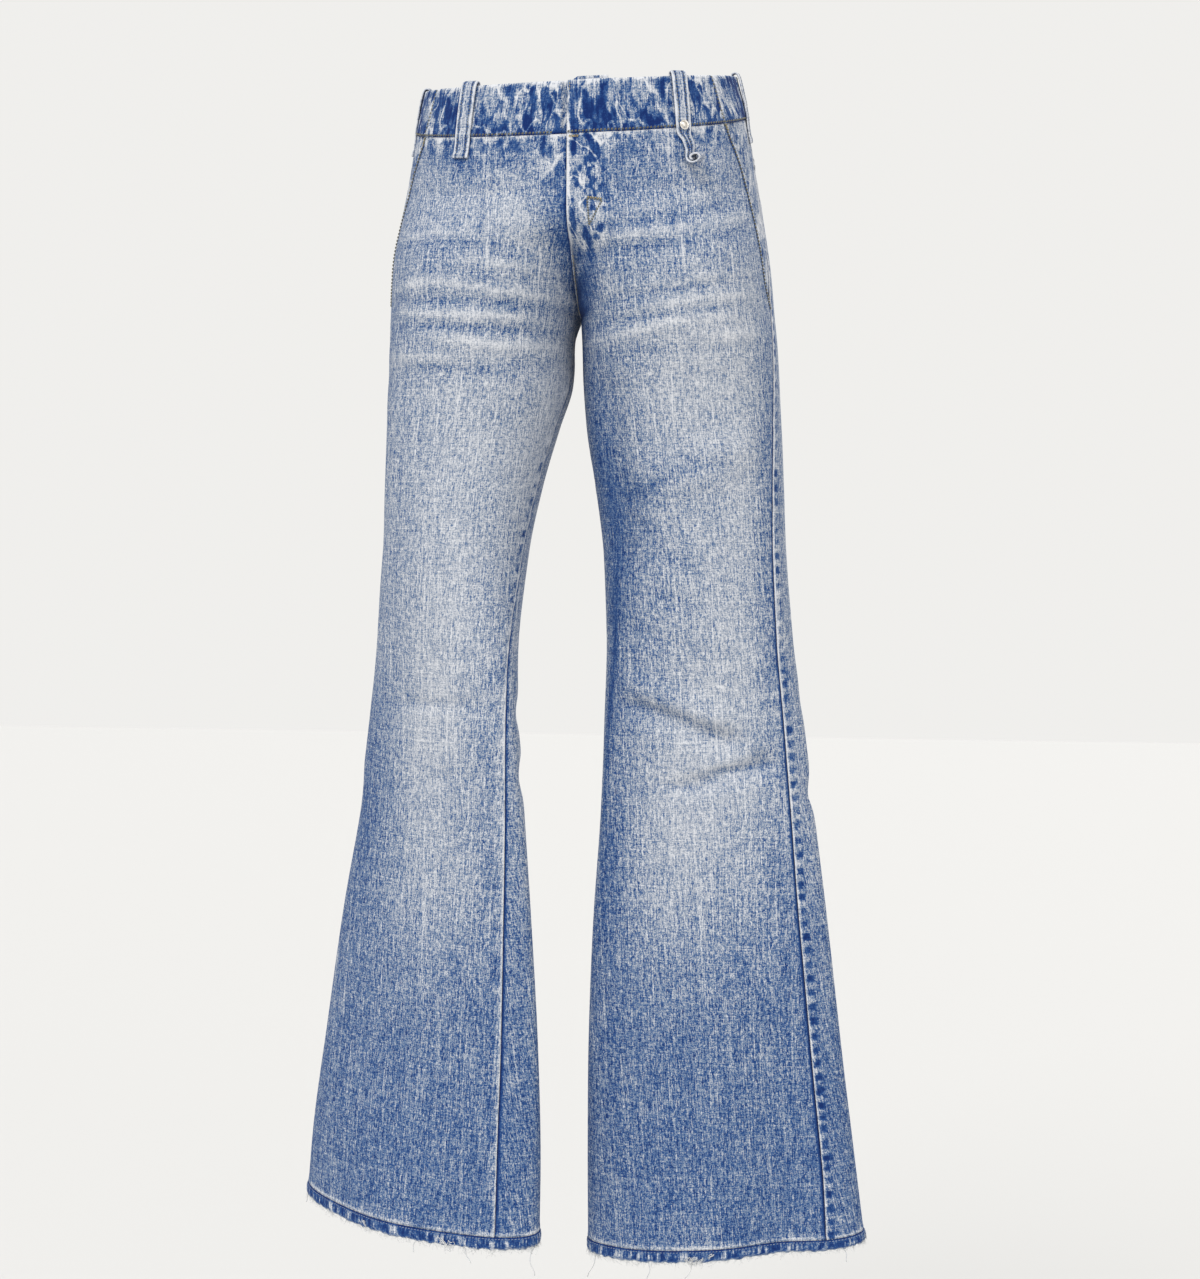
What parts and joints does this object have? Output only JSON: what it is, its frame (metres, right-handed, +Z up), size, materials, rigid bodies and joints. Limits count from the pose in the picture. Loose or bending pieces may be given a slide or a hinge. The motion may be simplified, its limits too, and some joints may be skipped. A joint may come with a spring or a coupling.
{
  "type": "bootcut jeans",
  "caption": "Low-rise bootcut denim jeans in their hollow worn form, with belt loops, slanted front pockets, a fly, a back yoke and frayed hems.",
  "frame": {"origin": "middle of the waist opening, at the height of the waistband's top edge", "axes": "+Z up the body, the front faces -Y, +X towards the wearer's left"},
  "size_m": [0.5257, 0.24, 1.0841],
  "materials": {
    "denim": "faded blue denim, heathered with white slubs",
    "band_denim": "worn pale blue denim, puckered along its seams",
    "thread": "loose off-white cotton yarn",
    "brass": "dull antique brass",
    "nickel": "bright nickel plate"
  },
  "bodies": {
    "root": {"back_left": "denim", "back_right": "denim", "belt_loop_back": "band_denim", "belt_loop_front_left": "band_denim", "belt_loop_front_right": "band_denim", "belt_loop_side_left": "band_denim", "belt_loop_side_right": "band_denim", "fly_shield": "denim", "fray_left": "thread", "fray_right": "thread", "front_left": "denim", "front_right": "denim", "hem_left": "band_denim", "hem_right": "band_denim", "loop_rivet": "nickel", "pocket_facing_left": "denim", "pocket_facing_right": "denim", "waist_hook": "nickel", "waistband_back": "band_denim", "waistband_left_front": "band_denim", "waistband_right_front": "band_denim", "yoke_left": "denim", "yoke_right": "denim", "zip": "brass"}
  },
  "joints": []
}
